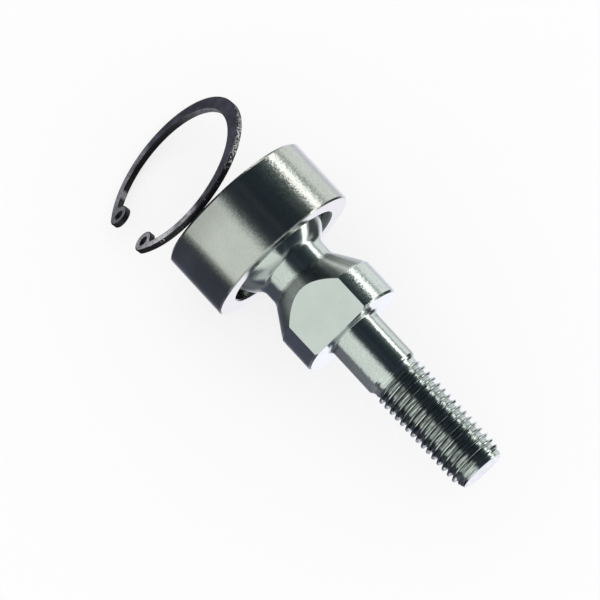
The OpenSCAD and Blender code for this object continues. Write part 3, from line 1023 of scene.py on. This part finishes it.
# The studio is long soft panels and dark cards that run beside the stud, so that round
# steel shows light and dark bands along its length. The camera itself sees plain white.
PANELS = [
    (-180, (0.72, 0.70, 0.78)),
    (-175, (0.40, 0.40, 0.45)),
    (-169, (0.20, 0.20, 0.24)),
    (-160, (0.10, 0.10, 0.13)),
    (-148, (0.075, 0.08, 0.108)),
    (-106, (0.072, 0.079, 0.1)),
    (-99, (0.10, 0.105, 0.12)),
    (-88, (0.70, 0.735, 0.69)),
    (-76, (0.79, 0.83, 0.78)),
    (-34, (0.80, 0.84, 0.79)),
    (-27, (0.74, 0.78, 0.74)),
    (-13, (0.10, 0.115, 0.12)),
    (-6, (0.04, 0.05, 0.055)),
    (4, (0.026, 0.034, 0.043)),
    (12, (0.035, 0.044, 0.052)),
    (20, (0.02, 0.03, 0.038)),
    (42, (0.027, 0.038, 0.044)),
    (52, (0.05, 0.065, 0.068)),
    (60, (0.10, 0.125, 0.12)),
    (67, (0.25, 0.28, 0.27)),
    (73, (1.75, 1.75, 1.66)),
    (80, (1.75, 1.75, 1.66)),
    (86, (0.66, 0.71, 0.69)),
    (92, (0.38, 0.43, 0.41)),
    (98, (0.86, 0.89, 0.85)),
    (126, (0.85, 0.87, 0.86)),
    (134, (0.64, 0.65, 0.70)),
    (142, (0.78, 0.79, 0.84)),
    (150, (0.90, 0.90, 0.97)),
    (165, (1.02, 1.0, 1.09)),
    (173, (1.16, 1.13, 1.23)),
    (180, (0.72, 0.70, 0.78)),
]
PANEL_CURVE = 0.45
CURVED_SIDE = (-0.15, 0.15)
SIDE_CARD_RISE = (1.55, 1.75)
SIDE_CARD_FALL = (2.6, 2.9)
SIDE_CARD_AHEAD = (0.12, 0.4)
SIDE_CARD_TONE = 0.08
GLOW_RISE = (1.1, 1.28)
GLOW_FALL = (1.44, 1.58)
GLOW_AHEAD = (0.35, 0.6)
GLEAM_RISE = (1.22, 1.46)
GLEAM_FALL = (1.84, 2.06)
GLEAM_BEHIND = (-0.6, -0.35, 0.5, 0.0)
GLOW_TONE = (1.7, 1.7, 1.62, 1)
BEHIND = (-0.75, -0.35, 1.0, 0.0)
BEHIND_SHARE = (0.25, 0.25, 0.25)
BEHIND_TONE = (0.02, 0.02, 0.022)
FILL_ACROSS = (-0.68, -0.58, 1.0, 0.0)
FILL_BEHIND = (-0.5, -0.3, 1.0, 0.0)
FILL_TONE = (0.21, 0.22, 0.235, 1)
LOW_CARD_ROUND = (-1.75, -1.55, 1.0, 0.0)
LOW_CARD_RISE = (0.05, 0.45)
LOW_CARD_FALL = (0.45, 0.6)
LOW_CARD_TONE = (1.0, 1.02, 1.1)
LOW_CARD_LIGHT = (-3.0, -2.8, 0.9, 0.16)
FRONT_LEAN = 0.6
FRONT_AHEAD = (0.82, 0.93)
FRONT_LEVEL = (-0.6, -0.4)
FRONT_TONE = (0.55, 0.58, 0.56, 1)
world = bpy.data.worlds.new("studio")
bpy.context.scene.world = world
world.use_nodes = True
world.cycles.sampling_method = "NONE"
tree = world.node_tree
tree.nodes.clear()
way = node(tree, "ShaderNodeTexCoord").outputs["Generated"]
axes = node(tree, "ShaderNodeSeparateXYZ", {0: way}).outputs
bent = product(tree, axes["X"], axes["X"], PANEL_CURVE, band(tree, axes["Y"], *CURVED_SIDE))
round_way = math_node(tree, "ARCTAN2", axes["Y"], math_node(tree, "ADD", axes["Z"], bent))
ramp_place = {"Value": round_way, "From Min": -math.pi, "From Max": math.pi}
ramp_place = node(tree, "ShaderNodeMapRange", ramp_place).outputs[0]
panels = node(tree, "ShaderNodeValToRGB", {"Fac": ramp_place})
stops = panels.color_ramp.elements
stops.remove(stops[-1])
for number, (degrees, colour) in enumerate(PANELS):
    stop = stops[0] if number == 0 else stops.new((degrees + 180) / 360)
    stop.position = (degrees + 180) / 360
    stop.color = (*colour, 1)

# Ahead, a dark card stands low on the far side with a bright strip above it, and a pale card
# lies low on the near side. The panels dim behind the joint, where a second strip gleams, and
# a soft panel faces the stud's end.
side_card = stripe(tree, round_way, SIDE_CARD_RISE, SIDE_CARD_FALL)
side_card = product(tree, side_card, band(tree, axes["X"], *SIDE_CARD_AHEAD))
dimmed = scaled(tree, panels.outputs["Color"], band(tree, side_card, 0.0, 1.0, 1.0, SIDE_CARD_TONE))
far_sockets = {0: dimmed, 1: BEHIND_SHARE, 2: BEHIND_TONE}
far = node(tree, "ShaderNodeVectorMath", far_sockets, operation="MULTIPLY_ADD").outputs[0]
fill = product(tree, band(tree, axes["Y"], *FILL_ACROSS), band(tree, axes["X"], *FILL_BEHIND))
far = blend(tree, fill, far, FILL_TONE)
studio = blend(tree, band(tree, axes["X"], *BEHIND), dimmed, far)
low_card = product(
    tree,
    band(tree, round_way, *LOW_CARD_ROUND),
    stripe(tree, axes["X"], LOW_CARD_RISE, LOW_CARD_FALL),
)
low_tone = scaled(tree, LOW_CARD_TONE, band(tree, round_way, *LOW_CARD_LIGHT))
studio = blend(tree, low_card, studio, low_tone)
ahead = math_node(tree, "SUBTRACT", axes["X"], product(tree, axes["Z"], FRONT_LEAN))
front = product(tree, band(tree, ahead, *FRONT_AHEAD), band(tree, axes["Z"], *FRONT_LEVEL))
studio = blend(tree, front, studio, FRONT_TONE)
glow = product(tree, stripe(tree, round_way, GLOW_RISE, GLOW_FALL), band(tree, axes["X"], *GLOW_AHEAD))
gleam = product(tree, stripe(tree, round_way, GLEAM_RISE, GLEAM_FALL), band(tree, axes["X"], *GLEAM_BEHIND))
studio = blend(tree, math_node(tree, "MAXIMUM", glow, gleam), studio, GLOW_TONE)
soft = node(tree, "ShaderNodeBackground", {"Color": studio, "Strength": 1.0}).outputs[0]
plain = node(tree, "ShaderNodeBackground", {"Color": WHITE, "Strength": 1.0}).outputs[0]
mirrored = node(tree, "ShaderNodeLightPath").outputs["Is Glossy Ray"]
both = node(tree, "ShaderNodeMixShader", {0: mirrored, 1: plain, 2: soft}).outputs[0]
node(tree, "ShaderNodeOutputWorld", {"Surface": both})

# The camera looks down on the joint from above its near end, at the photograph's angle.
AZIMUTH = math.radians(48.02)
ELEVATION = math.radians(76.53)
DISTANCE = 1.5
LENS_MM = 440.6
SENSOR_MM = 36
NEAREST = 0.05
FARTHEST = 20
TARGET = Vector((16.145, -3.139, -3.377)) * MM
lens = bpy.data.cameras.new("camera")
lens.lens = LENS_MM
lens.sensor_width = SENSOR_MM
lens.clip_start = NEAREST
lens.clip_end = FARTHEST
camera = bpy.data.objects.new("camera", lens)
bpy.context.scene.collection.objects.link(camera)
level = math.cos(ELEVATION)
back = Vector((math.sin(AZIMUTH) * level, -math.cos(AZIMUTH) * level, math.sin(ELEVATION)))
camera.location = TARGET + back * DISTANCE
camera.rotation_mode = "QUATERNION"
camera.rotation_quaternion = (-back).to_track_quat("-Z", "Y")
bpy.context.scene.camera = camera
bpy.context.scene.view_settings.view_transform = "Standard"
